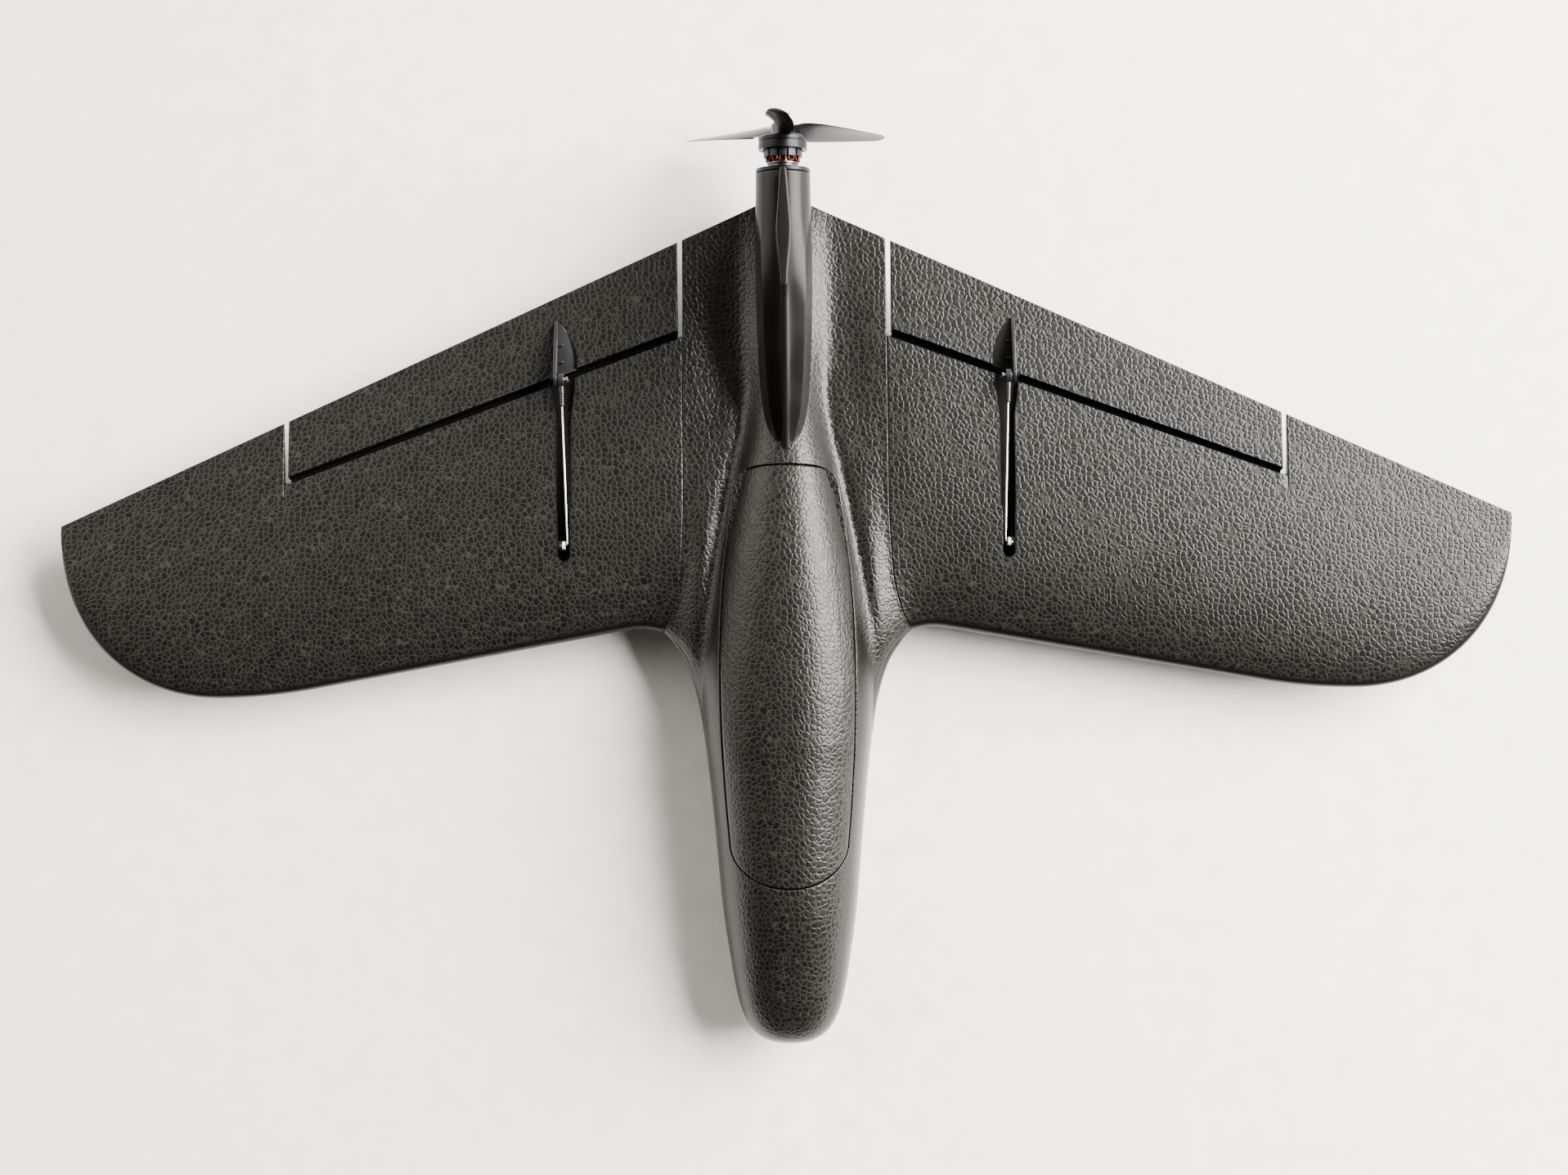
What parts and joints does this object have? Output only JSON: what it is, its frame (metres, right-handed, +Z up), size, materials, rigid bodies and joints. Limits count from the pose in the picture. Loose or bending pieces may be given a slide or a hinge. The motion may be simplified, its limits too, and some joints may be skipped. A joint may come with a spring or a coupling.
{
  "type": "model airplane",
  "caption": "Forward-swept foam pusher flying wing with a long nose, lift-off hatch, tail motor pod, fin, two elevons with pushrods and a three-blade propeller.",
  "frame": {"origin": "under the middle of the bounding box, on the plane the belly rests on", "axes": "+X towards the left wing tip, -Y towards the nose, +Z up"},
  "size_m": [0.8444, 0.5366, 0.122],
  "materials": {
    "foam": "matte",
    "smooth_foam": "satin",
    "black_plastic": "satin",
    "white_plastic": "satin",
    "servo_case": "satin",
    "propeller_plastic": "gloss",
    "black_metal": "satin",
    "dark_steel": "satin",
    "bare_aluminium": "polished",
    "steel": "polished",
    "copper": "gloss",
    "carbon": "satin",
    "plywood": "matte",
    "battery_wrap": "satin",
    "webbing": "matte"
  },
  "bodies": {
    "airframe": {"center_section": "foam", "left_wing": "foam", "right_wing": "foam", "left_hinge_strip": "foam", "right_hinge_strip": "foam", "motor_pod": "smooth_foam", "dorsal_fin": "smooth_foam", "motor_mount": "black_plastic", "mount_screws": "dark_steel", "motor_base": "bare_aluminium", "motor_bearings": "steel", "stator_core": "dark_steel", "stator_windings": "copper", "main_spar": "carbon", "rear_spar": "carbon", "battery_tray": "plywood", "battery": "battery_wrap", "battery_strap": "webbing", "speed_controller": "black_plastic", "receiver": "black_plastic", "fuselage_magnets": "steel", "left_servo": "servo_case", "left_servo_cover": "black_plastic", "right_servo": "servo_case", "right_servo_cover": "black_plastic"},
    "rotor": {"motor_bell": "black_metal", "motor_magnets": "steel", "motor_shaft": "steel", "propeller": "propeller_plastic", "prop_washer": "black_metal", "prop_nut": "black_metal"},
    "hatch": {"hatch": "foam", "hatch_magnets": "steel"},
    "left_elevon": {"left_elevon": "foam", "left_control_horn": "black_plastic", "left_ball_bolt": "steel", "left_horn_nut": "steel"},
    "left_linkage": {"left_ball_link": "black_plastic", "left_pushrod": "steel"},
    "left_arm": {"left_servo_arm": "white_plastic", "left_arm_screw": "steel"},
    "right_elevon": {"right_elevon": "foam", "right_control_horn": "black_plastic", "right_ball_bolt": "steel", "right_horn_nut": "steel"},
    "right_linkage": {"right_ball_link": "black_plastic", "right_pushrod": "steel"},
    "right_arm": {"right_servo_arm": "white_plastic", "right_arm_screw": "steel"}
  },
  "joints": [
    {"name": "propeller_spin", "type": "hinge", "parent": "airframe", "child": "rotor", "pos_m": [0, 0.25, 0.055], "axis": [0, 1, 0], "continuous": true},
    {"name": "hatch_lift", "type": "slide", "parent": "airframe", "child": "hatch", "axis": [0, 0, 1], "range_m": [0, 0.08]},
    {"name": "left_elevon_hinge", "type": "hinge", "parent": "airframe", "child": "left_elevon", "pos_m": [0.129, 0.11897, 0.0313], "axis": [0.94, -0.3412, 0], "range_deg": [-20, 20], "deforming": ["left_hinge_strip"]},
    {"name": "left_link_swivel", "type": "hinge", "parent": "left_elevon", "child": "left_linkage", "pos_m": [0.129, 0.117, 0.049], "axis": [0.9404, -0.3344, -0.062], "range_deg": [-20.6, 20.6]},
    {"name": "left_arm_swing", "type": "hinge", "parent": "airframe", "child": "left_arm", "pos_m": [0.129, 0.0215, 0.0333], "axis": [1, 0, 0], "range_deg": [-26.3, 26.3]},
    {"name": "right_elevon_hinge", "type": "hinge", "parent": "airframe", "child": "right_elevon", "pos_m": [-0.129, 0.11897, 0.0313], "axis": [0.94, 0.3412, 0], "range_deg": [-20, 20], "deforming": ["right_hinge_strip"]},
    {"name": "right_link_swivel", "type": "hinge", "parent": "right_elevon", "child": "right_linkage", "pos_m": [-0.129, 0.117, 0.049], "axis": [0.9404, 0.3344, 0.062], "range_deg": [-20.6, 20.6]},
    {"name": "right_arm_swing", "type": "hinge", "parent": "airframe", "child": "right_arm", "pos_m": [-0.129, 0.0215, 0.0333], "axis": [1, 0, 0], "range_deg": [-26.3, 26.3]}
  ],
  "couplings": [
    {"joint": "left_link_swivel", "follows": "left_elevon_hinge", "ratio": -1.0202},
    {"joint": "left_arm_swing", "follows": "left_elevon_hinge", "ratio": 1.305},
    {"joint": "right_link_swivel", "follows": "right_elevon_hinge", "ratio": -1.0202},
    {"joint": "right_arm_swing", "follows": "right_elevon_hinge", "ratio": 1.305}
  ]
}
